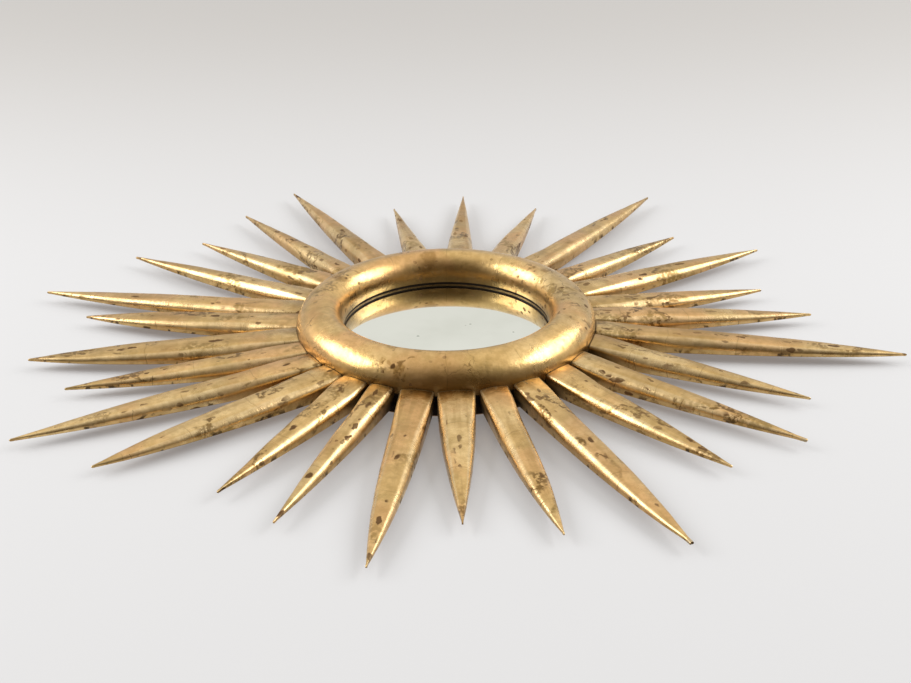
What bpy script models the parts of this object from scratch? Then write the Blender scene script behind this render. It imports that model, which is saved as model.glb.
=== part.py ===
"""A giltwood sunburst wall mirror, upright as it hangs: +Z up, the face towards -Y, the wall at y = 0.

A turned and carved ring holds a flat round plate in a rebate, a wooden backboard closes the rebate
behind it, and carved rays of uneven reach butt against the ring's outer wall. Depths are measured
forward from the wall.
"""

import math

import bmesh
import bpy
from mathutils import Vector

# Ring: a round-topped moulding with a straight lower wall and a flat back
RING_OUTER_RADIUS = 0.170
OUTER_SWELL = 0.032
INNER_SWELL = 0.021
RING_SHOULDER_DEPTH = 0.032
RING_RISE = 0.029
RING_CREST_RADIUS = RING_OUTER_RADIUS - OUTER_SWELL
SIGHT_RADIUS = RING_CREST_RADIUS - INNER_SWELL
BACK_EDGE_CHAMFER = 0.002
RING_SEGMENTS = 88
OUTER_CURVE_STEPS = 6
INNER_CURVE_STEPS = 5

# Plate and backboard
PLATE_FACE_DEPTH = 0.025
PLATE_THICKNESS = 0.004
DISC_SEGMENTS = 64

# Sight edge: the gilding stops at the lip, and a dark quirk runs down to the plate
LIP_STAND = 0.0042
LIP_DEPTH = PLATE_FACE_DEPTH + LIP_STAND
QUIRK_WIDTH = 0.0008
REBATE_WIDTH = 0.008

# Clearances
TOUCH_GAP = 0.0003
REBATE_CLEARANCE = 0.0004
MITRE_GAP = 0.0012

# Rays: flat underside, top falling from the ring to the tip, rounded shoulders
RAY_LENGTH = 0.350
RAY_WIDTH = 0.042
RAY_BACK_DEPTH = 0.0095
RAY_ROOT_HEIGHT = 0.0215
RAY_TIP_HEIGHT = 0.0025
TOP_FALL_POWER = 1.15
SHOULDER_RADIUS = 0.0055
CROWN_HEIGHT = 0.0006
TIP_HALF_WIDTH = 0.0009
RAY_STATIONS = (0.0, 0.10, 0.22, 0.36, 0.50, 0.64, 0.77, 0.89, 1.0)
FLAT_TOP_POINTS = (3, 4, 5)

# Keyhole slot in the backboard, for one wall screw
KEYHOLE_HEIGHT = 0.060
KEYHOLE_TRAVEL = 0.014
KEYHOLE_MOUTH = 0.0100
KEYHOLE_SLOT = 0.0052
KEYHOLE_LIP = 0.003
KEYHOLE_DEPTH = 0.010
ARC_STEPS = 12
CUTTER_OVERRUN = 0.002

# The carver's schedule, clockwise from the top as seen from the front: the bearing of the root on the
# ring and how far the tip swings beyond it, in degrees, then the length beyond the ring and the width
# at the root as shares of RAY_LENGTH and RAY_WIDTH, and how full the outline stays towards the tip
RAY_SCHEDULE = (
    (5.0, -2.1, 0.797, 0.89, 1.5),
    (18.1, -1.3, 0.712, 0.84, 1.7),
    (30.3, 2.0, 0.997, 0.88, 2.6),
    (45.3, -0.2, 0.707, 0.83, 2.3),
    (58.6, -0.8, 0.856, 0.92, 2.8),
    (72.0, -0.2, 0.662, 0.89, 2.5),
    (81.7, 1.0, 0.749, 0.94, 2.5),
    (94.6, 1.3, 0.993, 0.89, 3.7),
    (105.9, 6.0, 0.709, 0.84, 2.4),
    (121.8, 2.1, 0.778, 0.78, 2.6),
    (134.8, 1.7, 0.689, 0.89, 2.3),
    (149.6, 3.1, 0.921, 0.80, 3.7),
    (162.7, 2.7, 0.753, 0.77, 3.0),
    (176.5, 1.3, 0.657, 0.96, 1.8),
    (190.4, -1.7, 0.876, 0.88, 2.7),
    (203.8, -1.4, 0.733, 0.69, 2.2),
    (215.3, -2.0, 0.670, 0.91, 1.5),
    (226.4, 4.5, 0.815, 0.92, 3.5),
    (238.6, 4.1, 0.955, 0.89, 2.8),
    (249.1, 5.0, 0.745, 0.91, 2.5),
    (260.2, 4.2, 0.863, 1.10, 3.5),
    (274.6, 4.3, 0.746, 1.03, 3.4),
    (285.8, 0.1, 0.962, 0.89, 3.0),
    (297.3, 4.4, 0.846, 0.73, 2.8),
    (312.5, -0.2, 0.741, 0.84, 1.9),
    (321.4, 3.3, 0.856, 0.72, 2.1),
    (336.0, -0.6, 0.977, 0.82, 2.2),
    (351.0, -1.1, 0.687, 0.88, 1.3),
)


def clear_scene():
    for item in list(bpy.context.scene.objects):
        bpy.data.objects.remove(item, do_unlink=True)


def plain_material(name, colour, roughness, metallic):
    material = bpy.data.materials.new(name)
    material.use_nodes = True
    shader = material.node_tree.nodes["Principled BSDF"]
    shader.inputs["Base Color"].default_value = (*colour, 1.0)
    shader.inputs["Roughness"].default_value = roughness
    shader.inputs["Metallic"].default_value = metallic
    return material


def add_object(name, bm, material, smooth_degrees=40.0):
    bmesh.ops.recalc_face_normals(bm, faces=bm.faces)
    mesh = bpy.data.meshes.new(name)
    bm.to_mesh(mesh)
    bm.free()
    mesh.materials.append(material)
    mesh.shade_smooth()
    mesh.set_sharp_from_angle(angle=math.radians(smooth_degrees))
    item = bpy.data.objects.new(name, mesh)
    bpy.context.scene.collection.objects.link(item)
    return item


def on_face(radius, bearing):
    """A point in the plane of the wall, as (x, z), at a clock bearing in radians."""
    return Vector((radius * math.sin(bearing), radius * math.cos(bearing)))


def placed(point, depth):
    return (point.x, -depth, point.y)


def quarter_curve(centre_radius, half_width, start, end, steps):
    """Points (radius, depth) of the ring's elliptical top between two angles, without the first."""
    points = []
    for step in range(1, steps + 1):
        angle = start + (end - start) * step / steps
        radius = centre_radius + half_width * math.cos(angle)
        points.append((radius, RING_SHOULDER_DEPTH + RING_RISE * math.sin(angle)))
    return points


def ring_profile():
    """The ring's section as (radius, depth), from the back's outer corner up and over to the rebate."""
    rebate_radius = SIGHT_RADIUS + REBATE_WIDTH
    rebate_depth = PLATE_FACE_DEPTH + TOUCH_GAP
    points = [(RING_OUTER_RADIUS - BACK_EDGE_CHAMFER, 0.0)]
    points.append((RING_OUTER_RADIUS, BACK_EDGE_CHAMFER))
    points.append((RING_OUTER_RADIUS, RING_SHOULDER_DEPTH))
    points += quarter_curve(RING_CREST_RADIUS, OUTER_SWELL, 0.0, math.pi / 2, OUTER_CURVE_STEPS)
    points += quarter_curve(RING_CREST_RADIUS, INNER_SWELL, math.pi / 2, math.pi, INNER_CURVE_STEPS)
    points.append((SIGHT_RADIUS, LIP_DEPTH))
    points.append((SIGHT_RADIUS + QUIRK_WIDTH, LIP_DEPTH))
    points.append((SIGHT_RADIUS + QUIRK_WIDTH, rebate_depth))
    points.append((rebate_radius, rebate_depth))
    points.append((rebate_radius, 0.0))
    return points


def turned_ring(profile, segments):
    """A closed section swept once round the mirror's axis."""
    bm = bmesh.new()
    loops = []
    for segment in range(segments):
        bearing = 2 * math.pi * segment / segments
        corners = [placed(on_face(radius, bearing), depth) for radius, depth in profile]
        loops.append([bm.verts.new(corner) for corner in corners])
    count = len(profile)
    for segment in range(segments):
        here = loops[segment]
        there = loops[(segment + 1) % segments]
        for index in range(count):
            following = (index + 1) % count
            bm.faces.new((here[index], here[following], there[following], there[index]))
    return bm


def prism(outline, back_depth, front_depth):
    """A flat outline of (x, z) points given a thickness between two depths."""
    bm = bmesh.new()
    back = [bm.verts.new(placed(point, back_depth)) for point in outline]
    front = [bm.verts.new(placed(point, front_depth)) for point in outline]
    bm.faces.new(back)
    bm.faces.new(front)
    for index in range(len(outline)):
        following = (index + 1) % len(outline)
        bm.faces.new((back[index], back[following], front[following], front[index]))
    return bm


def circle_outline(radius, segments):
    return [on_face(radius, 2 * math.pi * step / segments) for step in range(segments)]


def stadium_outline(width, low, high):
    """A slot with round ends standing on the mirror's upright centre line, from low to high."""
    points = []
    for centre, start in ((high, -math.pi / 2), (low, math.pi / 2)):
        for step in range(ARC_STEPS + 1):
            turn = start + math.pi * step / ARC_STEPS
            points.append(Vector((0.0, centre)) + on_face(width / 2, turn))
    return points


def add_cutter(name, outline, back_depth, front_depth, target):
    bm = prism(outline, back_depth, front_depth)
    bmesh.ops.recalc_face_normals(bm, faces=bm.faces)
    mesh = bpy.data.meshes.new(name)
    bm.to_mesh(mesh)
    bm.free()
    cutter = bpy.data.objects.new(name, mesh)
    bpy.context.scene.collection.objects.link(cutter)
    cutter.hide_render = True
    cutter.display_type = "WIRE"
    boolean = target.modifiers.new(name, "BOOLEAN")
    boolean.operation = "DIFFERENCE"
    boolean.solver = "EXACT"
    boolean.object = cutter


class RayAxis:
    """The line of one ray in the plane of the wall, with its length and width."""

    def __init__(self, bearing, swing, length_share, width_share, fullness):
        reach = RING_OUTER_RADIUS + RAY_LENGTH * length_share
        self.root = on_face(RING_OUTER_RADIUS, math.radians(bearing))
        self.tip = on_face(reach, math.radians(bearing + swing))
        self.fullness = fullness
        self.half_width = RAY_WIDTH * width_share / 2
        self.length = (self.tip - self.root).length
        self.along = (self.tip - self.root).normalized()
        # Across points clockwise, so a positive offset is on the clockwise flank
        self.across = Vector((self.along.y, -self.along.x))

    def half_width_at(self, share):
        tapered = self.half_width * (1.0 - share ** self.fullness)
        return max(tapered, TIP_HALF_WIDTH)

    def height_at(self, share):
        fall = (RAY_ROOT_HEIGHT - RAY_TIP_HEIGHT) * share ** TOP_FALL_POWER
        return RAY_ROOT_HEIGHT - fall

    def root_distance(self, offset):
        """How far along the axis the ring's outer wall lies at an offset across it."""
        wall = RING_OUTER_RADIUS + TOUCH_GAP
        forward = self.root.dot(self.along)
        sideways = self.root.dot(self.across)
        rest = self.root.length_squared + offset * offset + 2 * offset * sideways - wall * wall
        return -forward + math.sqrt(forward * forward - rest)


def mitre_limit(centre, across, axis, neighbour):
    """The offset at which a flank meets the mitre that it shares with the neighbouring ray."""
    middle = (axis.root + neighbour.root) / 2
    line = (axis.along + neighbour.along).normalized()
    facing = Vector((line.y, -line.x))
    if facing.dot(neighbour.root - axis.root) < 0:
        facing = -facing
    room = -MITRE_GAP / 2 - (centre - middle).dot(facing)
    return room / across.dot(facing)


def ray_section(left, right, height, scale):
    """The section as (offset, height above the underside), from the left flank over to the right."""
    shoulder = SHOULDER_RADIUS * scale
    eased = shoulder * (1 - math.cos(math.pi / 4))
    crown = height + CROWN_HEIGHT * scale
    low = height - shoulder
    shape = [(-left, 0.0), (-left, low), (-left + eased, height - eased), (-left + shoulder, height)]
    shape.append(((right - left) / 2, crown))
    shape += [(right - shoulder, height), (right - eased, height - eased), (right, low), (right, 0.0)]
    return shape


def carved_ray(axis, before, after):
    """One ray lofted through its stations from the ring's wall to the tip."""
    bm = bmesh.new()
    loops = []
    root_offsets = []
    for share in RAY_STATIONS:
        centre = axis.root + axis.along * (axis.length * share)
        half_width = axis.half_width_at(share)
        left = min(half_width, mitre_limit(centre, -axis.across, axis, before))
        right = min(half_width, mitre_limit(centre, axis.across, axis, after))
        height = axis.height_at(share)
        loop = []
        for offset, rise in ray_section(left, right, height, half_width / axis.half_width):
            point = centre + axis.across * offset
            if share == RAY_STATIONS[0]:
                point = point + axis.along * axis.root_distance(offset)
                root_offsets.append(offset)
            loop.append(bm.verts.new(placed(point, RAY_BACK_DEPTH + rise)))
        loops.append(loop)
    for here, there in zip(loops, loops[1:]):
        for index in range(len(here) - 1):
            bm.faces.new((here[index], here[index + 1], there[index + 1], there[index]))
    for here, there in zip(loops[1:], loops[2:]):
        bm.faces.new((here[-1], here[0], there[0], there[-1]))
    bm.faces.new(loops[-1])
    scribe_root(bm, axis, loops[0], loops[1], root_offsets)
    return bm


def scribe_root(bm, axis, root, following, offsets):
    """The end face, in upright strips that follow the ring's round wall, and the underside beside it."""
    bottom = [root[0]]
    for index in FLAT_TOP_POINTS:
        offset = offsets[index]
        point = axis.root + axis.across * offset + axis.along * axis.root_distance(offset)
        bottom.append(bm.verts.new(placed(point, RAY_BACK_DEPTH)))
    bottom.append(root[-1])
    edges = (0,) + FLAT_TOP_POINTS + (len(root) - 1,)
    for strip in range(len(edges) - 1):
        top = root[edges[strip]:edges[strip + 1] + 1]
        low = [vertex for vertex in (bottom[strip + 1], bottom[strip]) if vertex not in top]
        bm.faces.new(top + low)
    bm.faces.new(bottom + [following[-1], following[0]])


def build_ring(gilding):
    add_object("ring", turned_ring(ring_profile(), RING_SEGMENTS), gilding)


def build_rays(gilding):
    axes = [RayAxis(*entry) for entry in RAY_SCHEDULE]
    for index, axis in enumerate(axes):
        before = axes[index - 1]
        after = axes[(index + 1) % len(axes)]
        add_object("ray_{:02d}".format(index + 1), carved_ray(axis, before, after), gilding)


def build_plate(silvering):
    radius = SIGHT_RADIUS + REBATE_WIDTH - REBATE_CLEARANCE
    rear = PLATE_FACE_DEPTH - PLATE_THICKNESS
    disc = prism(circle_outline(radius, DISC_SEGMENTS), rear, PLATE_FACE_DEPTH)
    add_object("mirror_plate", disc, silvering)


def build_backboard(bare_wood):
    radius = SIGHT_RADIUS + REBATE_WIDTH - REBATE_CLEARANCE
    front = PLATE_FACE_DEPTH - PLATE_THICKNESS - TOUCH_GAP
    board = add_object("backboard", prism(circle_outline(radius, DISC_SEGMENTS), 0.0, front), bare_wood)
    low = KEYHOLE_HEIGHT
    high = KEYHOLE_HEIGHT + KEYHOLE_TRAVEL
    head_path = stadium_outline(KEYHOLE_MOUTH, low, high)
    shank_path = stadium_outline(KEYHOLE_SLOT, low, high)
    circle = circle_outline(KEYHOLE_MOUTH / 2, 2 * ARC_STEPS)
    mouth = [Vector((0.0, low)) + point for point in circle]
    add_cutter("keyhole_undercut", head_path, KEYHOLE_LIP, KEYHOLE_DEPTH, board)
    add_cutter("keyhole_slot", shank_path, -CUTTER_OVERRUN, KEYHOLE_DEPTH / 2, board)
    add_cutter("keyhole_mouth", mouth, -CUTTER_OVERRUN, KEYHOLE_DEPTH / 2, board)


def build():
    clear_scene()
    gilding = plain_material("gold_leaf", (0.60, 0.40, 0.15), 0.34, 0.9)
    silvering = plain_material("silvered_glass", (0.80, 0.84, 0.82), 0.04, 1.0)
    bare_wood = plain_material("bare_wood", (0.28, 0.18, 0.10), 0.75, 0.0)
    build_ring(gilding)
    build_rays(gilding)
    build_plate(silvering)
    build_backboard(bare_wood)


build()
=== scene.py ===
"""A carved and gilded sunburst wall mirror: its finished surfaces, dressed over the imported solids."""
import math

import bmesh
import bpy
from mathutils import Matrix, Vector


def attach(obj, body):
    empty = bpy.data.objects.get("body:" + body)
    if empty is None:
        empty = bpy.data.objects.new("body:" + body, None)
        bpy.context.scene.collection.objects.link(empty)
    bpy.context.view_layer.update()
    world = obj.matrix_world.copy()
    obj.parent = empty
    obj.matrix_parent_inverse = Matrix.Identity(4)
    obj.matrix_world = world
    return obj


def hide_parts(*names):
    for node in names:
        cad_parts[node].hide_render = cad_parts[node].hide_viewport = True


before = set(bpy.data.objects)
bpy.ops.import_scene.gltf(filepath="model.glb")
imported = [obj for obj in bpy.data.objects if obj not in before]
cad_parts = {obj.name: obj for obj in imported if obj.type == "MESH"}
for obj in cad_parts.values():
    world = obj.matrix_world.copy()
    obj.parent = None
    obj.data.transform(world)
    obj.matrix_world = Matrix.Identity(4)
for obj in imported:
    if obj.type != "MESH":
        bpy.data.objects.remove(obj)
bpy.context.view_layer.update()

# Sizes in metres. Depth runs forward from the wall, so it is minus Y, and height is Z.
RING_OUTER_RADIUS = 0.170
RING_CREST_RADIUS = 0.138
SIGHT_RADIUS = 0.117
RING_SHOULDER_DEPTH = 0.032
RING_RISE = 0.029
BACK_EDGE_CHAMFER = 0.002
LIP_DEPTH = 0.0292
QUIRK_WIDTH = 0.0008
REBATE_RADIUS = 0.125
REBATE_DEPTH = 0.0253
RING_UNEVENNESS = 0.0006

PLATE_RADIUS = 0.1246
PLATE_BACK_DEPTH = 0.021
PLATE_FACE_DEPTH = 0.025

RAY_LENGTH = 0.350
RAY_WIDTH = 0.042
RAY_BACK_DEPTH = 0.0095
RAY_ROOT_HEIGHT = 0.0215
RAY_TIP_HEIGHT = 0.0025
TOP_FALL_POWER = 1.15
SHOULDER_RADIUS = 0.0115
LOWER_EDGE_RADIUS = 0.0012
CROWN_HEIGHT = 0.0022
CROWN_DROP = 0.0009
ROOT_SHOULDER_SHARE = 0.18
TIP_HALF_WIDTH = 0.0009
TIP_ROUNDING = 0.0025
MITRE_GAP = 0.0012
WALL_GAP = 0.0002
RAY_UNEVENNESS = 0.0005

# Root bearing and swing of the tip in degrees, shares of RAY_LENGTH and RAY_WIDTH, fullness
RAY_SCHEDULE = (
    (5.0, -2.1, 0.797, 0.89, 1.5),
    (18.1, -1.3, 0.712, 0.84, 1.7),
    (30.3, 2.0, 0.997, 0.88, 2.6),
    (45.3, -0.2, 0.707, 0.83, 2.3),
    (58.6, -0.8, 0.856, 0.92, 2.8),
    (72.0, -0.2, 0.662, 0.89, 2.5),
    (81.7, 1.0, 0.749, 0.94, 2.5),
    (94.6, 1.3, 0.993, 0.89, 3.7),
    (105.9, 6.0, 0.709, 0.84, 2.4),
    (121.8, 2.1, 0.778, 0.78, 2.6),
    (134.8, 1.7, 0.689, 0.89, 2.3),
    (149.6, 3.1, 0.921, 0.80, 3.7),
    (162.7, 2.7, 0.753, 0.77, 3.0),
    (176.5, 1.3, 0.657, 0.96, 1.8),
    (190.4, -1.7, 0.876, 0.88, 2.7),
    (203.8, -1.4, 0.733, 0.69, 2.2),
    (215.3, -2.0, 0.670, 0.91, 1.5),
    (226.4, 4.5, 0.815, 0.92, 3.5),
    (238.6, 4.1, 0.955, 0.89, 2.8),
    (249.1, 5.0, 0.745, 0.91, 2.5),
    (260.2, 4.2, 0.863, 1.10, 3.5),
    (274.6, 4.3, 0.746, 1.03, 3.4),
    (285.8, 0.1, 0.962, 0.89, 3.0),
    (297.3, 4.4, 0.846, 0.73, 2.8),
    (312.5, -0.2, 0.741, 0.84, 1.9),
    (321.4, 3.3, 0.856, 0.72, 2.1),
    (336.0, -0.6, 0.977, 0.82, 2.2),
    (351.0, -1.1, 0.687, 0.88, 1.3),
)

QUARTER_TURN = math.pi / 2


class Wire:
    """An output of a node tree that Python can reckon with: each expression adds its nodes."""

    def __init__(self, tree, socket=None):
        self.tree = tree
        self.socket = socket

    def node(self, kind, settings=None, inputs=None, output=0):
        """Adds any node: its settings first, then the values or links of its sockets."""
        made = self.tree.nodes.new(kind)
        for name, value in (settings or {}).items():
            if name == "stops":
                ramp = made.color_ramp
                while len(ramp.elements) < len(value):
                    ramp.elements.new(1.0)
                for element, (position, colour) in zip(ramp.elements, value):
                    element.position = position
                    element.color = colour
            else:
                setattr(made, name, value)
        for name, value in (inputs or {}).items():
            if isinstance(value, Wire):
                self.tree.links.new(value.socket, made.inputs[name])
            else:
                made.inputs[name].default_value = value
        return Wire(self.tree, made.outputs[output] if len(made.outputs) else None)

    def beside(self, output):
        """Another output of the same node."""
        return Wire(self.tree, self.socket.node.outputs[output])

    def reckon(self, operation, *values):
        return self.node("ShaderNodeMath", {"operation": operation}, dict(enumerate(values)))

    def vector_reckon(self, operation, *values, output=0):
        return self.node("ShaderNodeVectorMath", {"operation": operation}, dict(enumerate(values)), output)

    def either(self, operation, first, second):
        """Math for numbers, Vector Math where this wire carries a vector."""
        if self.socket.type in ("VALUE", "INT"):
            return self.reckon(operation, first, second)
        return self.vector_reckon(operation, first, second)

    def __add__(self, other):
        return self.either("ADD", self, other)

    def __radd__(self, other):
        return self.either("ADD", other, self)

    def __sub__(self, other):
        return self.either("SUBTRACT", self, other)

    def __rsub__(self, other):
        return self.either("SUBTRACT", other, self)

    def __mul__(self, other):
        return self.either("MULTIPLY", self, other)

    def __rmul__(self, other):
        return self.either("MULTIPLY", other, self)

    def __truediv__(self, other):
        return self.either("DIVIDE", self, other)

    def __rtruediv__(self, other):
        return self.either("DIVIDE", other, self)

    def __pow__(self, other):
        return self.reckon("POWER", self, other)

    def __neg__(self):
        return self.either("MULTIPLY", self, -1.0)

    def __abs__(self):
        return self.reckon("ABSOLUTE", self)

    def sine(self):
        return self.reckon("SINE", self)

    def cosine(self):
        return self.reckon("COSINE", self)

    def root(self):
        return self.reckon("SQRT", self)

    def at_most(self, other):
        return self.reckon("MINIMUM", self, other)

    def at_least(self, other):
        return self.reckon("MAXIMUM", self, other)

    def scaled(self, share):
        """A vector made longer or shorter by a number."""
        return self.node("ShaderNodeVectorMath", {"operation": "SCALE"}, {0: self, "Scale": share})

    def parts(self):
        """The three numbers of a vector."""
        first = self.node("ShaderNodeSeparateXYZ", None, {0: self})
        return first, first.beside(1), first.beside(2)

    def vector(self, x, y, z):
        return self.node("ShaderNodeCombineXYZ", None, {0: x, 1: y, 2: z})

    def step(self, start, end):
        """Rises from 0 to 1 in a straight line between two values of this wire."""
        return self.node("ShaderNodeMapRange", {"clamp": True}, {0: self, 1: start, 2: end})

    def rise(self, start, end):
        """Rises from 0 to 1 in a soft curve; with start above end it falls."""
        settings = {"interpolation_type": "SMOOTHSTEP"}
        if not isinstance(start, Wire) and not isinstance(end, Wire) and start > end:
            inputs = {0: self, 1: end, 2: start, 3: 1.0, 4: 0.0}
        else:
            inputs = {0: self, 1: start, 2: end}
        return self.node("ShaderNodeMapRange", settings, inputs)

    def blend(self, first, second, mode="MIX"):
        """Two colours mixed by this wire: the first at 0, the second at 1."""
        settings = {"data_type": "RGBA", "blend_type": mode, "clamp_factor": True}
        return self.node("ShaderNodeMix", settings, {0: self, 6: first, 7: second}, output=2)

    def grade(self, first, second):
        """Two numbers mixed by this wire."""
        return self.node("ShaderNodeMix", {"data_type": "FLOAT"}, {0: self, 2: first, 3: second})

    def noise(self, scale, detail=2.0, roughness=0.5, output=0):
        """Cloudy noise over this vector, in features a metre."""
        inputs = {"Vector": self, "Scale": scale, "Detail": detail, "Roughness": roughness}
        return self.node("ShaderNodeTexNoise", {"noise_dimensions": "3D"}, inputs, output)

    def cells(self, scale, feature="F1", randomness=1.0, output=0):
        inputs = {"Vector": self, "Scale": scale, "Randomness": randomness}
        settings = {"voronoi_dimensions": "3D", "feature": feature}
        return self.node("ShaderNodeTexVoronoi", settings, inputs, output)


def colour(red, green, blue):
    """A colour read off a screen, 0 to 255, as the linear values that shaders take."""
    linear = []
    for value in (red, green, blue):
        share = value / 255.0
        linear.append(share / 12.92 if share <= 0.04045 else ((share + 0.055) / 1.055) ** 2.4)
    return (*linear, 1.0)


def shape_tree(name, inputs):
    """A Geometry Nodes tree with named inputs, each (name, socket type, value)."""
    tree = bpy.data.node_groups.new(name, "GeometryNodeTree")
    tree.interface.new_socket("Geometry", in_out="OUTPUT", socket_type="NodeSocketGeometry")
    tree.interface.new_socket("Geometry", in_out="INPUT", socket_type="NodeSocketGeometry")
    for label, kind, value in inputs:
        socket = tree.interface.new_socket(label, in_out="INPUT", socket_type=kind)
        if value is not None:
            socket.default_value = value
    return tree


def finish_tree(surface, material):
    """Realizes the mesh, its closed seams and poles already merged, then dresses it and hands it over."""
    real = surface.node("GeometryNodeRealizeInstances", None, {0: surface})
    smooth = real.node("GeometryNodeSetShadeSmooth", None, {0: real})
    dressed = smooth.node("GeometryNodeSetMaterial", None, {0: smooth, "Material": material})
    dressed.node("NodeGroupOutput", None, {0: dressed})


def grown_mesh(name, tree, values, sharp_degrees):
    """Runs a tree once with its named values and returns the result as a plain mesh piece."""
    seed = bpy.data.objects.new(name + "_seed", bpy.data.meshes.new(name + "_seed"))
    bpy.context.scene.collection.objects.link(seed)
    modifier = seed.modifiers.new("shape", "NODES")
    modifier.node_group = tree
    for item in tree.interface.items_tree:
        if item.item_type == "SOCKET" and item.in_out == "INPUT" and item.name in values:
            modifier[item.identifier] = values[item.name]
    graph = bpy.context.evaluated_depsgraph_get()
    mesh = bpy.data.meshes.new_from_object(seed.evaluated_get(graph))
    bpy.data.objects.remove(seed, do_unlink=True)
    mesh.name = name
    bm = bmesh.new()
    bm.from_mesh(mesh)
    bmesh.ops.recalc_face_normals(bm, faces=bm.faces)
    bm.to_mesh(mesh)
    bm.free()
    mesh.shade_smooth()
    mesh.set_sharp_from_angle(angle=math.radians(sharp_degrees))
    piece = bpy.data.objects.new(name, mesh)
    bpy.context.scene.collection.objects.link(piece)
    return piece


def dress(piece, node):
    """Hands a finished piece to the frame in place of its solid."""
    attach(piece, "root")
    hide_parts(node)


# ---------------------------------------------------------------- ring

RING_STEPS_ROUND = 512
# Steps of the section: back chamfer, outer wall, outer curve, inner curve, drop, lip, quirk,
# rebate shelf, rebate wall, back
RING_STEPS = (2, 18, 44, 38, 2, 1, 2, 2, 5, 6)


def section_shares(place, counts):
    """One wire for each stretch of a section, rising from 0 to 1 while the place passes along it."""
    shares = []
    start = 0
    for count in counts:
        shares.append(place.step(float(start), float(start + count)))
        start += count
    return shares


def ring_tree():
    tree = shape_tree("ring_shape", (
        ("Outer Radius", "NodeSocketFloat", RING_OUTER_RADIUS),
        ("Crest Radius", "NodeSocketFloat", RING_CREST_RADIUS),
        ("Sight Radius", "NodeSocketFloat", SIGHT_RADIUS),
        ("Shoulder Depth", "NodeSocketFloat", RING_SHOULDER_DEPTH),
        ("Rise", "NodeSocketFloat", RING_RISE),
        ("Unevenness", "NodeSocketFloat", RING_UNEVENNESS),
        ("Material", "NodeSocketMaterial", None),
    ))
    given = Wire(tree).node("NodeGroupInput", None, None, "Outer Radius")
    outer = given
    crest = given.beside("Crest Radius")
    sight = given.beside("Sight Radius")
    shoulder = given.beside("Shoulder Depth")
    rise = given.beside("Rise")
    total = sum(RING_STEPS)
    grid = given.node("GeometryNodeMeshGrid", None, {
        "Size X": 1.0, "Size Y": 1.0, "Vertices X": RING_STEPS_ROUND + 1, "Vertices Y": total + 1})
    flat_x, flat_y, _ = given.node("GeometryNodeInputPosition").parts()
    bearing = (flat_x + 0.5) * (2 * math.pi)
    place = (flat_y + 0.5) * float(total)
    chamfer, wall, outside, inside, drop, lip, quirk, shelf, rebate, back = section_shares(place, RING_STEPS)
    over = outside * QUARTER_TURN
    down = inside * QUARTER_TURN
    radius = outer - BACK_EDGE_CHAMFER + chamfer * BACK_EDGE_CHAMFER
    radius = radius + (outer - crest) * (over.cosine() - 1.0) - (crest - sight) * down.sine()
    radius = radius + lip * QUIRK_WIDTH + shelf * (REBATE_RADIUS - SIGHT_RADIUS - QUIRK_WIDTH)
    radius = radius + back * (RING_OUTER_RADIUS - BACK_EDGE_CHAMFER - REBATE_RADIUS)
    depth = chamfer * BACK_EDGE_CHAMFER + wall * (shoulder - BACK_EDGE_CHAMFER)
    depth = depth + rise * over.sine() + rise * (down.cosine() - 1.0)
    depth = depth - drop * (shoulder - LIP_DEPTH) - quirk * (LIP_DEPTH - REBATE_DEPTH)
    depth = depth - rebate * REBATE_DEPTH
    turned = given.vector(radius * bearing.sine(), depth * -1.0, radius * bearing.cosine())
    swept = given.node("GeometryNodeSetPosition", None, {"Geometry": grid, "Position": turned})
    closed = given.node("GeometryNodeMergeByDistance", None, {"Geometry": swept, "Distance": 0.00001})
    spot = given.node("GeometryNodeInputPosition")
    spot_x, spot_y, spot_z = spot.parts()
    from_axis = (spot_x * spot_x + spot_z * spot_z).root()
    forward = spot_y * -1.0
    carved = from_axis.rise(0.128, 0.134).grade(forward.rise(0.031, 0.037), forward.rise(0.022, 0.030))
    swell = (spot.noise(9.0, 1.0) - 0.5) * 2.0 + (spot.noise(38.0, 2.0) - 0.5) * 0.7
    lift = swell * carved * given.beside("Unevenness")
    normal = given.node("GeometryNodeInputNormal")
    uneven = given.node("GeometryNodeSetPosition", None, {"Geometry": closed, "Offset": normal.scaled(lift)})
    finish_tree(uneven, given.beside("Material"))
    return tree


def build_ring(material):
    piece = grown_mesh("gilt_ring", ring_tree(), {"Material": material}, 50.0)
    dress(piece, "ring")


# ---------------------------------------------------------------- rays

RAY_STEPS_ALONG = 120
ROOT_FACE_STEPS = 3
TIP_STEPS = 8
# Steps of half a section, from the middle of the top down to the middle of the underside
HALF_SECTION_STEPS = (9, 9, 7, 3, 4)


def on_face(radius, bearing):
    """A point in the plane of the wall, as (x, z), at a clock bearing in radians."""
    return Vector((radius * math.sin(bearing), radius * math.cos(bearing)))


class RayAxis:
    """The line of one ray in the plane of the wall, with its length and width."""

    def __init__(self, bearing, swing, length_share, width_share, fullness):
        reach = RING_OUTER_RADIUS + RAY_LENGTH * length_share
        self.root = on_face(RING_OUTER_RADIUS, math.radians(bearing))
        self.tip = on_face(reach, math.radians(bearing + swing))
        self.fullness = fullness
        self.half_width = RAY_WIDTH * width_share / 2
        self.length = (self.tip - self.root).length
        self.along = (self.tip - self.root).normalized()
        # Across points clockwise, so a positive offset is on the clockwise flank
        self.across = Vector((self.along.y, -self.along.x))

    def mitre(self, across, neighbour):
        """The room up to the mitre shared with a neighbour: at the root, and its growth a metre."""
        middle = (self.root + neighbour.root) / 2
        line = (self.along + neighbour.along).normalized()
        facing = Vector((line.y, -line.x))
        if facing.dot(neighbour.root - self.root) < 0:
            facing = -facing
        reach = across.dot(facing)
        start = (-MITRE_GAP / 2 - (self.root - middle).dot(facing)) / reach
        return start, -self.along.dot(facing) / reach


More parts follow.
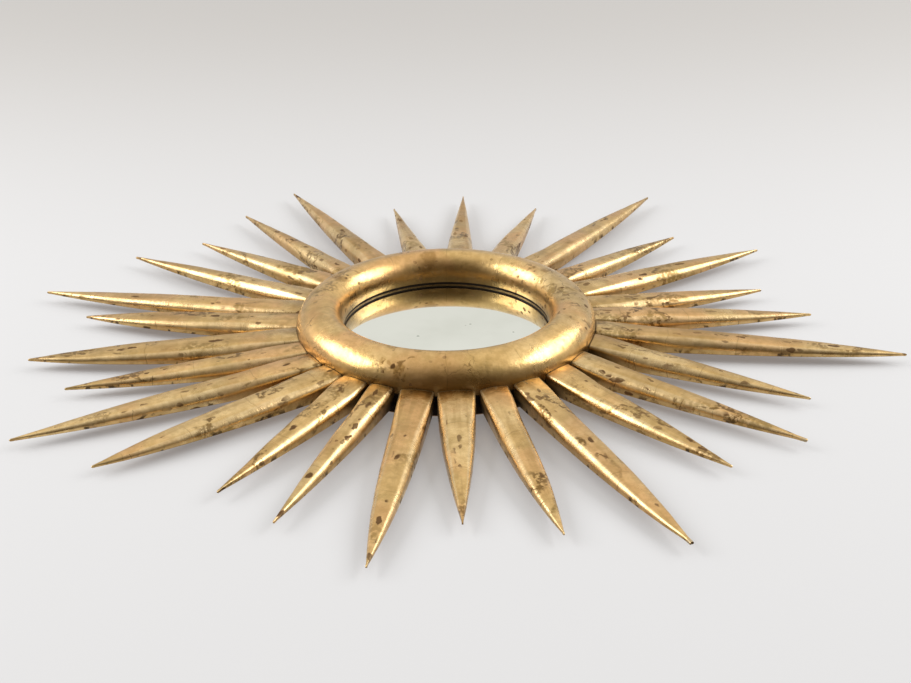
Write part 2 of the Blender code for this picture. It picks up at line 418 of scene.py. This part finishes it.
def upright(point):
    """A direction in the plane of the wall as a 3-D vector."""
    return (point.x, 0.0, point.y)


def ray_tree():
    number = "NodeSocketFloat"
    tree = shape_tree("ray_shape", (
        ("Root", "NodeSocketVector", None),
        ("Along", "NodeSocketVector", None),
        ("Across", "NodeSocketVector", None),
        ("Length", number, 0.3),
        ("Half Width", number, 0.019),
        ("Fullness", number, 2.5),
        ("Left Room", number, 0.02),
        ("Left Growth", number, 0.1),
        ("Right Room", number, 0.02),
        ("Right Growth", number, 0.1),
        ("Forward", number, RING_OUTER_RADIUS),
        ("Sideways", number, 0.0),
        ("Tip Half Width", number, TIP_HALF_WIDTH),
        ("Tip Rounding", number, TIP_ROUNDING),
        ("Unevenness", number, RAY_UNEVENNESS),
        ("Seed", number, 0.0),
        ("Material", "NodeSocketMaterial", None),
    ))
    given = Wire(tree).node("NodeGroupInput", None, None, "Root")
    length = given.beside("Length")
    half_width = given.beside("Half Width")
    around = 2 * sum(HALF_SECTION_STEPS)
    grid = given.node("GeometryNodeMeshGrid", None, {
        "Size X": 1.0, "Size Y": 1.0, "Vertices X": RAY_STEPS_ALONG + 1, "Vertices Y": around + 1})
    flat_x, flat_y, _ = given.node("GeometryNodeInputPosition").parts()
    row = (flat_x + 0.5) * float(RAY_STEPS_ALONG)
    root_face = row.step(0.0, float(ROOT_FACE_STEPS))
    body = row.step(float(ROOT_FACE_STEPS), float(RAY_STEPS_ALONG - TIP_STEPS))
    cap = row.step(float(RAY_STEPS_ALONG - TIP_STEPS), float(RAY_STEPS_ALONG)) * QUARTER_TURN
    tip_rounding = given.beside("Tip Rounding")
    distance = body * (length - abs(tip_rounding)) + cap.sine() * tip_rounding
    share = distance / length
    rounding = cap.cosine()
    tapered = half_width * (1.0 - share ** given.beside("Fullness"))
    tapered = tapered.at_least(given.beside("Tip Half Width"))
    scale = tapered / half_width
    height = RAY_ROOT_HEIGHT - (RAY_ROOT_HEIGHT - RAY_TIP_HEIGHT) * share ** TOP_FALL_POWER
    left = tapered.at_most(given.beside("Left Room") + given.beside("Left Growth") * distance)
    right = tapered.at_most(given.beside("Right Room") + given.beside("Right Growth") * distance)
    side = flat_y.reckon("SIGN", flat_y)
    width = side.step(-0.5, 0.5).grade(left, right)
    place = abs(flat_y) * float(around)
    top, shoulder, wall, lower_edge, under = section_shares(place, HALF_SECTION_STEPS)
    wander = given.vector(flat_x * 3.0, side * 0.5, given.beside("Seed")).noise(1.0, 1.0)
    softened = share.rise(-0.06, 0.34).grade(ROOT_SHOULDER_SHARE, 1.0)
    radius = scale * SHOULDER_RADIUS * wander.rise(0.25, 0.75).grade(0.75, 1.25) * softened
    radius = radius.at_most(height * 0.62)
    edge = scale * LOWER_EDGE_RADIUS
    over = shoulder * QUARTER_TURN
    turn_in = lower_edge * QUARTER_TURN
    reach = (width - radius) * top + radius * over.sine()
    crown = (1.0 - (reach / width) ** 2.0) * CROWN_HEIGHT - CROWN_DROP
    offset = reach - edge * (1.0 - turn_in.cosine())
    offset = (offset - (width - edge) * under) * side
    level = height + scale * crown - radius * (1.0 - over.cosine())
    level = level - (height - scale * CROWN_DROP - radius - edge) * wall - edge * turn_in.sine()
    middle = height * 0.5
    offset = offset * root_face * rounding
    level = middle + (level - middle) * root_face * rounding
    forward = given.beside("Forward")
    wall_radius = RING_OUTER_RADIUS + WALL_GAP
    shortfall = offset * offset + offset * given.beside("Sideways") * 2.0
    shortfall = shortfall + RING_OUTER_RADIUS ** 2 - wall_radius ** 2
    scribed = (forward * forward - shortfall).root() - forward
    travelled = distance + scribed * (1.0 - share)
    spot = given + given.beside("Along").scaled(travelled) + given.beside("Across").scaled(offset)
    spot = spot + given.vector(0.0, level * -1.0, 0.0)
    seed = given.beside("Seed")
    shifted = given.vector(offset, travelled + seed, level)
    noted = given.node(
        "GeometryNodeStoreNamedAttribute", {"data_type": "FLOAT_VECTOR", "domain": "POINT"},
        {"Geometry": grid, "Name": "ray_place", "Value": shifted})
    swept = given.node("GeometryNodeSetPosition", None, {"Geometry": noted, "Position": spot})
    closed = given.node("GeometryNodeMergeByDistance", None, {"Geometry": swept, "Distance": 0.00001})
    place_now = given.node(
        "GeometryNodeInputNamedAttribute", {"data_type": "FLOAT_VECTOR"}, {"Name": "ray_place"})
    _, run, rise = place_now.parts()
    run = run - seed
    free = run.rise(0.004, 0.025) * (length - run).rise(0.0, 0.03) * rise.rise(0.001, 0.006)
    swell = (place_now.noise(14.0, 1.0) - 0.5) * 2.2 + (place_now.noise(60.0, 2.0) - 0.5) * 0.8
    lift = swell * free * given.beside("Unevenness")
    normal = given.node("GeometryNodeInputNormal")
    uneven = given.node("GeometryNodeSetPosition", None, {"Geometry": closed, "Offset": normal.scaled(lift)})
    finish_tree(uneven, given.beside("Material"))
    return tree


def build_rays(material):
    tree = ray_tree()
    axes = [RayAxis(*entry) for entry in RAY_SCHEDULE]
    for number, axis in enumerate(axes):
        left_room, left_growth = axis.mitre(-axis.across, axes[number - 1])
        right_room, right_growth = axis.mitre(axis.across, axes[(number + 1) % len(axes)])
        tip_half_width, tip_rounding = DAMAGED_TIPS.get(number + 1, (TIP_HALF_WIDTH, TIP_ROUNDING))
        values = {
            "Root": (axis.root.x, -RAY_BACK_DEPTH, axis.root.y),
            "Along": upright(axis.along),
            "Across": upright(axis.across),
            "Length": axis.length,
            "Half Width": axis.half_width,
            "Fullness": axis.fullness,
            "Left Room": left_room,
            "Left Growth": left_growth,
            "Right Room": right_room,
            "Right Growth": right_growth,
            "Forward": axis.root.dot(axis.along),
            "Sideways": axis.root.dot(axis.across),
            "Tip Half Width": tip_half_width,
            "Tip Rounding": tip_rounding,
            "Seed": 0.731 * (number + 1),
            "Material": material,
        }
        piece = grown_mesh("gilt_ray_%02d" % (number + 1), tree, values, 60.0)
        dress(piece, "ray_%02d" % (number + 1))


# ---------------------------------------------------------------- mirror plate and backboard

def build_plate(material):
    """The silvered glass disc, with its ground edge slightly rounded."""
    steps_round = 192
    arris = 0.0006
    profile = (
        (0.0, PLATE_FACE_DEPTH),
        (PLATE_RADIUS * 0.5, PLATE_FACE_DEPTH),
        (PLATE_RADIUS - arris, PLATE_FACE_DEPTH),
        (PLATE_RADIUS, PLATE_FACE_DEPTH - arris),
        (PLATE_RADIUS, PLATE_BACK_DEPTH + arris),
        (PLATE_RADIUS - arris, PLATE_BACK_DEPTH),
        (PLATE_RADIUS * 0.5, PLATE_BACK_DEPTH),
        (0.0, PLATE_BACK_DEPTH),
    )
    bm = bmesh.new()
    loops = []
    for radius, depth in profile:
        if radius == 0.0:
            loops.append([bm.verts.new((0.0, -depth, 0.0))])
            continue
        loop = []
        for step in range(steps_round):
            point = on_face(radius, 2 * math.pi * step / steps_round)
            loop.append(bm.verts.new((point.x, -depth, point.y)))
        loops.append(loop)
    for here, there in zip(loops, loops[1:]):
        for step in range(steps_round):
            following = (step + 1) % steps_round
            corners = [here[step % len(here)], here[following % len(here)]]
            corners += [there[following % len(there)], there[step % len(there)]]
            bm.faces.new([corner for index, corner in enumerate(corners) if corner not in corners[:index]])
    bmesh.ops.recalc_face_normals(bm, faces=bm.faces)
    mesh = bpy.data.meshes.new("silvered_plate")
    bm.to_mesh(mesh)
    bm.free()
    mesh.materials.append(material)
    mesh.shade_smooth()
    mesh.set_sharp_from_angle(angle=math.radians(30.0))
    piece = bpy.data.objects.new("silvered_plate", mesh)
    bpy.context.scene.collection.objects.link(piece)
    dress(piece, "mirror_plate")


def build_backboard(material):
    """The backboard keeps its solid, with a bare wood finish."""
    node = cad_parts["backboard"]
    node.data.materials.clear()
    node.data.materials.append(material)


# ---------------------------------------------------------------- finishes

def new_material(name):
    material = bpy.data.materials.new(name)
    material.use_nodes = True
    tree = material.node_tree
    tree.nodes.clear()
    return material, Wire(tree)


DARK_SPOT = colour(92, 62, 24)
OLIVE_STAIN = colour(120, 96, 46)
RED_BOLE = colour(130, 78, 44)
# Near black: painted shade in the hollows, and also dark specks and the quirk's dark paint
SHADE_AND_GRIME = colour(34, 22, 11)
LEAF_LENGTH = 0.078
LEAVES_ROUND = 12
# Places on the ring, as (x, z), where the leaf has suffered most
WORN_PLACES = (
    (-0.124, 0.060), (-0.131, 0.012), (-0.010, 0.126), (-0.052, -0.152), (0.145, -0.010),
    (0.152, -0.042), (0.105, 0.100), (-0.006, -0.130),
)
# Brown stains on the ring, as (x, z, radius)
STAINED_PLACES = (
    (-0.050, -0.154, 0.0075), (-0.060, -0.148, 0.0050), (-0.068, -0.143, 0.0040), (-0.124, 0.060, 0.0110),
    (-0.020, 0.127, 0.0120), (0.163, -0.046, 0.0070), (0.118, 0.078, 0.0080),
)
# Tips that are blunt or chipped: half width, and how far the end stands out or is hollowed
DAMAGED_TIPS = {10: (0.0021, 0.0014), 12: (0.0021, -0.0018)}


# Tips of the tenth, twelfth and twenty-second rays, as (x, z)
WORN_TIPS = ((0.367, -0.247), (0.226, -0.437), (-0.426, 0.067))


def leaf_gold(name, is_ray):
    """Old leaf over red bole: tones, torn edges, spots, cracks, rubbed flanks, a painted highlight on the shoulders of
    the rays and painted shade in the hollows.
    """
    material, start = new_material(name)
    spot = start.node("ShaderNodeTexCoord", None, None, "Object")
    normal = start.node("ShaderNodeNewGeometry", None, None, "Normal")
    facing = normal.parts()[1] * -1.0
    side_x, side_y, side_z = spot.parts()
    depth = side_y * -1.0
    from_axis = (side_x * side_x + side_z * side_z).root()
    if is_ray:
        place = start.node("ShaderNodeAttribute", {"attribute_name": "ray_place"}, None, "Vector")
        streaks = place * (70.0, 620.0, 70.0)
        stretched = place * (1.0, 0.45, 1.0)
    else:
        place = spot
        round_x = side_x / from_axis
        round_z = side_z / from_axis
        streaks = start.vector(round_x * 80.0, from_axis * 60.0, round_z * 80.0)
        stretched = place + (0.43, 0.0, 0.21)
    flank = facing.rise(0.62, 0.2)

    # Each leaf has its own tone, and shows a fine line where the next one laps over it
    sway = (place.noise(26.0, 2.0) - 0.5) * 0.02
    if is_ray:
        leaf = (place.parts()[1] + sway) * (1.0 / LEAF_LENGTH)
    else:
        bearing = side_x.reckon("ARCTAN2", side_x, side_z)
        leaf = bearing * (LEAVES_ROUND / (2 * math.pi)) + sway * 8.0
    leaf_number = leaf.reckon("FLOOR", leaf)
    lap = abs(leaf - leaf_number - 0.5).rise(0.490, 0.497) * place.noise(31.0, 2.0).rise(0.42, 0.54)
    fortune = start.node("ShaderNodeTexWhiteNoise", {"noise_dimensions": "1D"}, {"W": leaf_number})
    patch = leaf * 3.3 + (place.noise(90.0, 2.0) - 0.5) * 0.3
    patch = patch.reckon("FLOOR", patch)
    patch_tone = start.node("ShaderNodeTexWhiteNoise", {"noise_dimensions": "1D"}, {"W": patch + 0.37})

    # Tones of the leaf
    warm = colour(227, 190, 127)
    pale = colour(236, 208, 154)
    body = (place.noise(8.0, 3.0, 0.6).rise(0.40, 0.62) * fortune.grade(0.5, 1.0)).blend(warm, pale)
    body = (place.noise(30.0, 5.0, 0.65).rise(0.48, 0.66) * 0.65).blend(body, colour(182, 154, 98))
    body = ((place + (3.1, 0.7, 1.3)).noise(13.0, 3.0).rise(0.47, 0.63) * 0.6).blend(body, colour(226, 174, 120))
    smoke = (place + (0.4, 2.3, 0.9)).noise(7.0, 4.0, 0.6).rise(0.50, 0.70) * 0.5
    body = smoke.blend(body, colour(150, 120, 68))
    body = (flank * place.noise(15.0, 3.0).rise(0.35, 0.65) * 0.6).blend(body, colour(192, 156, 106))
    if is_ray:
        along = (place * (120.0, 9.0, 60.0)).noise(1.0, 3.0)
        body = (along.rise(0.46, 0.66) * 0.45).blend(body, colour(168, 136, 82))
        # Paler on the shoulders of the rays: partly rubbed wear on the arrises, partly a painted highlight that makes
        # the highlights there creamier
        rubbed_and_highlight = facing.rise(0.98, 0.86) * facing.rise(0.22, 0.50) * place.noise(30.0, 2.0).grade(0.3, 0.9)
        body = (rubbed_and_highlight * 0.55).blend(body, colour(247, 227, 184))
        # Patchily darker on the rays within a few centimetres of the ring
        darker_near_ring = from_axis.rise(0.215, 0.174) * place.noise(42.0, 3.0).rise(0.42, 0.62)
        body = (darker_near_ring * 0.55).blend(body, colour(142, 114, 70))
    else:
        foot_shade = from_axis.rise(0.156, 0.168) * depth.rise(0.047, 0.030)
        inner_shade = from_axis.rise(0.127, 0.119) * depth.rise(0.052, 0.036)
        body = (foot_shade.at_least(inner_shade) * 0.75).blend(body, colour(136, 113, 74))
    body = (fortune * 0.16 + patch_tone * 0.16).blend(body, colour(170, 138, 86))
    body = (lap * 0.35).blend(body, colour(120, 94, 52))

    # Torn leaf edges: short curved strokes, with a dull stain inside some of them
    worn = place.noise(9.0, 2.0)
    if is_ray:
        worn = worn.rise(0.34, 0.54)
    else:
        worn = worn.rise(0.42, 0.62)
        flat_spot = start.vector(side_x, 0.0, side_z)
        for worn_x, worn_z in WORN_PLACES:
            away = start.vector_reckon("DISTANCE", flat_spot, (worn_x, 0.0, worn_z), output=1)
            worn = worn.at_least(away.rise(0.045, 0.015))
    field = stretched.noise(40.0, 2.0, 0.5)
    torn_here = stretched.noise(29.0, 2.0).rise(0.51, 0.56) * worn
    stroke = abs(field - 0.47).rise(0.046, 0.020) * torn_here * place.noise(210.0, 3.0, 0.6).rise(0.40, 0.52)
    stain = field.rise(0.48, 0.42) * place.noise(13.0, 2.0).rise(0.48, 0.56) * worn
    stain = stain * place.noise(190.0, 4.0, 0.6).rise(0.38, 0.56)
    body = (stain * 0.72).blend(body, OLIVE_STAIN)
    if not is_ray:
        drips = 0.0
        for stain_x, stain_z, stain_radius in STAINED_PLACES:
            away = start.vector_reckon("DISTANCE", flat_spot, (stain_x, 0.0, stain_z), output=1)
            drips = (away + (place.noise(110.0, 3.0) - 0.5) * 0.012).rise(stain_radius, stain_radius * 0.6) + drips
        drips = drips.at_most(1.0) * place.noise(160.0, 3.0).rise(0.30, 0.48)
        body = (drips * 0.6).blend(body, colour(148, 110, 58))
    body = (stroke * (0.85 if is_ray else 0.6)).blend(body, colour(94, 66, 28))

    # Dark spots where the leaf has failed, alone, in swarms and in a row along the middle of a ray
    warp = stretched + (place.noise(100.0, 2.0, output=1) - (0.5, 0.5, 0.5)).scaled(0.006)
    spots = warp.cells(56.0)
    luck = spots.beside(1).parts()[0]
    mark = (luck.rise(0.40, 1.0) * 0.20 - spots).rise(-0.02, 0.05) * worn.rise(0.1, 0.5)
    mark = mark * flank.grade(1.0, 0.35)
    fleck = warp.cells(140.0)
    fleck_size = fleck.beside(1).parts()[0].rise(0.30, 1.0) * 0.38
    swarm = place.noise(19.0, 3.0).rise(0.46, 0.56) * worn
    if is_ray:
        offset, run, _ = place.parts()
        row = abs(offset + (place.noise(20.0, 1.0) - 0.5) * 0.012).rise(0.0060, 0.0025)
        swarm = swarm.at_least(row * start.vector(run, 0.0, 0.0).noise(11.0, 1.0).rise(0.42, 0.48))
    flecks = (fleck_size - fleck).rise(-0.05, 0.05) * swarm
    mark = mark.at_least(flecks)
    mottle = place.noise(130.0, 4.0, 0.7).rise(0.36, 0.64)
    body = (mottle * 0.30).blend(body, colour(156, 122, 62))
    body = (mark * luck.grade(0.6, 1.0)).blend(body, DARK_SPOT)

    # Tips rubbed down to grey gesso
    if is_ray:
        bare = 0.0
        for tip_x, tip_z in WORN_TIPS:
            away = start.vector_reckon("DISTANCE", start.vector(side_x, 0.0, side_z), (tip_x, 0.0, tip_z), output=1)
            bare = away.rise(0.011, 0.003) + bare
        bare = bare.at_most(1.0) * place.noise(300.0, 2.0).rise(0.34, 0.52)
        body = (bare * 0.75).blend(body, colour(168, 156, 130))
        mark = mark.at_least(bare * 0.6)

    # Cracks across the gesso
    if is_ray:
        run = place.parts()[1]
        ripple = (place.noise(60.0, 2.0) - 0.5) * 0.012
        beat = (run + ripple) * 26.0
        nearest = abs(beat.reckon("FRACT", beat) - 0.5)
        crack = nearest.rise(0.012, 0.004) * place.noise(24.0, 2.0).rise(0.54, 0.60)
        crack = crack * facing.rise(0.97, 0.80)
    else:
        web = (spot + (spot.noise(70.0, 3.0, output=1) - (0.5, 0.5, 0.5)).scaled(0.02)).cells(34.0, "DISTANCE_TO_EDGE")
        crack = web.rise(0.018, 0.006) * spot.noise(13.0, 3.0).rise(0.54, 0.62)
    body = (crack * 0.75).blend(body, colour(84, 58, 28))

    # Bole showing through on the rubbed flanks, and painted shade in the hollows: in the gaps between the rays, in the
    # quirk, which is also painted dark, and low on the ring's outer wall between the rays
    bole = flank * place.noise(48.0, 4.0, 0.65).rise(0.56, 0.70)
    body = (bole * 0.35).blend(body, RED_BOLE)
    if is_ray:
        # Dark along each ray's joint with the ring, painted shade in the gaps between the rays near the ring, and real
        # dark specks low on the flanks
        beside_ring = from_axis.rise(0.1716, 0.1704)
        valley = flank * depth.rise(0.027, 0.014) * from_axis.rise(0.215, 0.176)
        scorched = flank * depth.rise(0.017, 0.011) * place.noise(85.0, 3.0).rise(0.58, 0.66) * 0.8
        shade_and_grime = beside_ring * 0.7 + valley + scorched
    else:
        # Painted shade in the quirk, which is also painted dark, with a paler line at the glass, and painted shade low
        # on the ring's outer wall between the rays
        quirk = depth.rise(0.0296, 0.0290) * from_axis.rise(0.130, 0.126)
        foot = from_axis.rise(0.1685, 0.1695) * depth.rise(0.0262, 0.0232)
        shelf = quirk * depth.rise(0.0262, 0.0257)
        shade_and_grime = quirk * (1.0 - shelf * 0.7) + foot
    shade_and_grime = shade_and_grime.at_most(1.0)
    body = shade_and_grime.blend(body, SHADE_AND_GRIME)

    # The back is left in dull ochre over the bare wood
    back = facing.rise(-0.30, -0.75)
    brushed = (place * (30.0, 8.0, 30.0)).noise(1.0, 4.0, 0.6)
    ochre = brushed.rise(0.32, 0.68).blend(colour(166, 128, 84), colour(128, 92, 56))
    body = back.blend(body, ochre)

    wear = place.noise(33.0, 3.0)
    roughness = wear.rise(0.3, 0.7).grade(0.20, 0.32) + patch_tone * 0.07 + smoke * 0.12
    roughness = roughness + mark * 0.28 + stain * 0.12
    roughness = (roughness + bole * 0.12 + shade_and_grime * 0.4 + back * 0.45).at_most(0.95)
    metal = 1.0 - (mark * 0.3 + bole * 0.3).at_most(0.8)
    metal = metal * (1.0 - shade_and_grime * 0.3) * (1.0 - back)
    if is_ray:
        metal = metal * (1.0 - rubbed_and_highlight * 0.25)
    crinkle = place.noise(12.0, 2.0).rise(0.42, 0.62).grade(0.09, 0.25)
    relief = place.noise(95.0, 3.0, 0.55) * 0.20 + streaks.noise(1.0, 2.0) * 0.06
    relief = relief + place.noise(250.0, 3.0, 0.6) * crinkle - mark * 0.06 - crack * 0.08 - stroke * 0.05
    bump = start.node("ShaderNodeBump", None, {"Strength": 1.0, "Distance": 0.001, "Height": relief})
    shader = start.node("ShaderNodeBsdfPrincipled", None, {
        "Base Color": body, "Roughness": roughness, "Metallic": metal, "Normal": bump})
    start.node("ShaderNodeOutputMaterial", None, {"Surface": shader})
    return material


# Specks in the silvering, as (x, z, radius)
PLATE_SPECKS = ((-0.032, -0.023, 0.0022), (0.027, 0.007, 0.0018), (0.022, 0.004, 0.0012), (0.076, -0.015, 0.0016))


def silvering():
    """Clear silvered glass, very slightly green."""
    material, start = new_material("silvered_glass")
    spot = start.node("ShaderNodeTexCoord", None, None, "Object")
    haze = spot.noise(11.0, 3.0).rise(0.4, 0.8)
    body = haze.blend(colour(236, 239, 231), colour(226, 229, 220))
    specks = 0.0
    for speck_x, speck_z, speck_radius in PLATE_SPECKS:
        away = start.vector_reckon("DISTANCE", spot, (speck_x, -PLATE_FACE_DEPTH, speck_z), output=1)
        specks = (away + (spot.noise(400.0, 2.0) - 0.5) * 0.003).rise(speck_radius, speck_radius * 0.4) + specks
    specks = specks.at_most(1.0)
    body = (specks * 0.6).blend(body, colour(120, 132, 112))
    roughness = 0.02 + haze * 0.02 + specks * 0.2
    shader = start.node("ShaderNodeBsdfPrincipled", None, {
        "Base Color": body, "Roughness": roughness, "Metallic": 1.0})
    start.node("ShaderNodeOutputMaterial", None, {"Surface": shader})
    return material


def bare_wood():
    """A plain pine board, its grain upright."""
    material, start = new_material("backboard_wood")
    spot = start.node("ShaderNodeTexCoord", None, None, "Object")
    stretched = spot * (60.0, 60.0, 4.0)
    grain = stretched.noise(1.0, 4.0, 0.6)
    fibre = (spot * (900.0, 900.0, 30.0)).noise(1.0, 2.0)
    body = grain.rise(0.3, 0.7).blend(colour(150, 118, 82), colour(112, 84, 54))
    height = grain * 0.6 + fibre * 0.4
    bump = start.node("ShaderNodeBump", None, {"Strength": 0.4, "Distance": 0.0005, "Height": height})
    shader = start.node("ShaderNodeBsdfPrincipled", None, {
        "Base Color": body, "Roughness": 0.75 + fibre * 0.15, "Normal": bump})
    start.node("ShaderNodeOutputMaterial", None, {"Surface": shader})
    return material


# ---------------------------------------------------------------- studio

CAMERA_PLACE = (0.0102, -0.8596, -1.7545)
CAMERA_RISE = 0.4373
CAMERA_ROLL = -0.0091
CAMERA_LENS = 67.18
SENSOR_WIDTH = 36.0


def photo_direction(azimuth, elevation):
    """A direction seen from the mirror: azimuth from straight below to the right, elevation off the wall."""
    turn = math.radians(azimuth)
    lean = math.radians(elevation)
    return Vector((math.cos(lean) * math.sin(turn), -math.sin(lean), -math.cos(lean) * math.cos(turn)))


def build_camera():
    level = math.sqrt(1.0 - CAMERA_RISE ** 2)
    forward = Vector((0.0, CAMERA_RISE, level))
    upward = Vector((0.0, -level, CAMERA_RISE))
    right = Vector((1.0, 0.0, 0.0))
    rolled_right = right * math.cos(CAMERA_ROLL) + upward * math.sin(CAMERA_ROLL)
    rolled_up = upward * math.cos(CAMERA_ROLL) - right * math.sin(CAMERA_ROLL)
    lens = bpy.data.cameras.new("studio_camera")
    lens.sensor_width = SENSOR_WIDTH
    lens.sensor_fit = "HORIZONTAL"
    lens.lens = CAMERA_LENS
    camera = bpy.data.objects.new("studio_camera", lens)
    turn = Matrix((rolled_right, rolled_up, -forward)).transposed().to_4x4()
    camera.matrix_world = Matrix.Translation(CAMERA_PLACE) @ turn
    bpy.context.scene.collection.objects.link(camera)
    bpy.context.scene.camera = camera


def softbox(name, azimuth, elevation, distance, width, height, power):
    """A rectangular lamp facing the mirror, its width along the wall."""
    lamp = bpy.data.lights.new(name, "AREA")
    lamp.shape = "RECTANGLE"
    lamp.size = width
    lamp.size_y = height
    lamp.energy = power
    item = bpy.data.objects.new(name, lamp)
    direction = photo_direction(azimuth, elevation)
    item.location = direction * distance
    item.rotation_mode = "QUATERNION"
    away = Vector((0.0, -1.0, 0.0))
    sideways = away.cross(direction).normalized()
    upward = direction.cross(sideways)
    item.rotation_quaternion = Matrix((sideways, upward, direction)).transposed().to_quaternion()
    bpy.context.scene.collection.objects.link(item)


def build_sky():
    """Soft all-round light: pale above the mirror, dim below it."""
    world = bpy.data.worlds.new("studio")
    bpy.context.scene.world = world
    world.use_nodes = True
    world.node_tree.nodes.clear()
    start = Wire(world.node_tree)
    direction = start.node("ShaderNodeTexCoord", None, None, "Generated")
    _, front, height = direction.parts()
    lift = height.rise(-0.95, 0.20) * (front * -1.0).rise(0.20, 0.68).grade(0.60, 1.0)
    tint = lift.blend((0.10, 0.07, 0.038, 1.0), (1.05, 1.035, 1.005, 1.0))
    seen = start.node("ShaderNodeLightPath", None, None, "Is Camera Ray")
    sky = start.node("ShaderNodeBackground", None, {"Color": seen.blend(tint, (0.78, 0.78, 0.78, 1.0))})
    start.node("ShaderNodeOutputWorld", None, {"Surface": sky})


def backdrop_paint_and_glow():
    """Matt off-white paint, which shows only from the front; it is painted darker towards the top as painted shade,
    and glows a little as painted light that softens the shadows on it.
    """
    material, start = new_material("backdrop_paint_and_glow")
    spot = start.node("ShaderNodeTexCoord", None, None, "Object")
    height = spot.parts()[2]
    # Painted shade: darker towards the top; the emission is a painted glow that lightens the shadows on the wall
    tint = height.rise(0.1, 1.5).blend(colour(182, 182, 183), colour(167, 165, 163))
    front = start.node("ShaderNodeBsdfPrincipled", None, {
        "Base Color": tint, "Roughness": 1.0, "Specular IOR Level": 0.0,
        "Emission Color": tint, "Emission Strength": 0.36})
    clear = start.node("ShaderNodeBsdfTransparent")
    behind = start.node("ShaderNodeNewGeometry", None, None, "Backfacing")
    shown = start.node("ShaderNodeMixShader", None, {0: behind, 1: front, 2: clear})
    start.node("ShaderNodeOutputMaterial", None, {"Surface": shown})
    return material


def build_backdrop():
    """A pale wall just behind the mirror; the gold mirrors it only above the foot of the mirror."""
    low, fold, high, reach, depth = -2.4, -0.32, 3.2, 2.6, 0.0006
    paint = backdrop_paint_and_glow()
    for name, start, end, mirrored in (("backdrop_low", low, fold, False), ("backdrop", fold, high, True)):
        mesh = bpy.data.meshes.new(name)
        corners = [(-reach, depth, start), (reach, depth, start), (reach, depth, end), (-reach, depth, end)]
        mesh.from_pydata(corners, [], [(0, 1, 2, 3)])
        mesh.materials.append(paint)
        backdrop = bpy.data.objects.new(name, mesh)
        bpy.context.scene.collection.objects.link(backdrop)
        backdrop.visible_diffuse = False
        backdrop.visible_shadow = False
        backdrop.visible_glossy = mirrored


def build_studio():
    build_camera()
    build_sky()
    build_backdrop()
    softbox("left_softbox", -93.0, 34.0, 3.0, 2.4, 1.65, 62.0)
    softbox("right_softbox", 100.0, 36.0, 3.0, 2.6, 1.5, 60.0)
    bpy.context.scene.view_settings.view_transform = "Standard"


build_ring(leaf_gold("ring_gilding", False))
build_rays(leaf_gold("ray_gilding", True))
build_plate(silvering())
build_backboard(bare_wood())
build_studio()
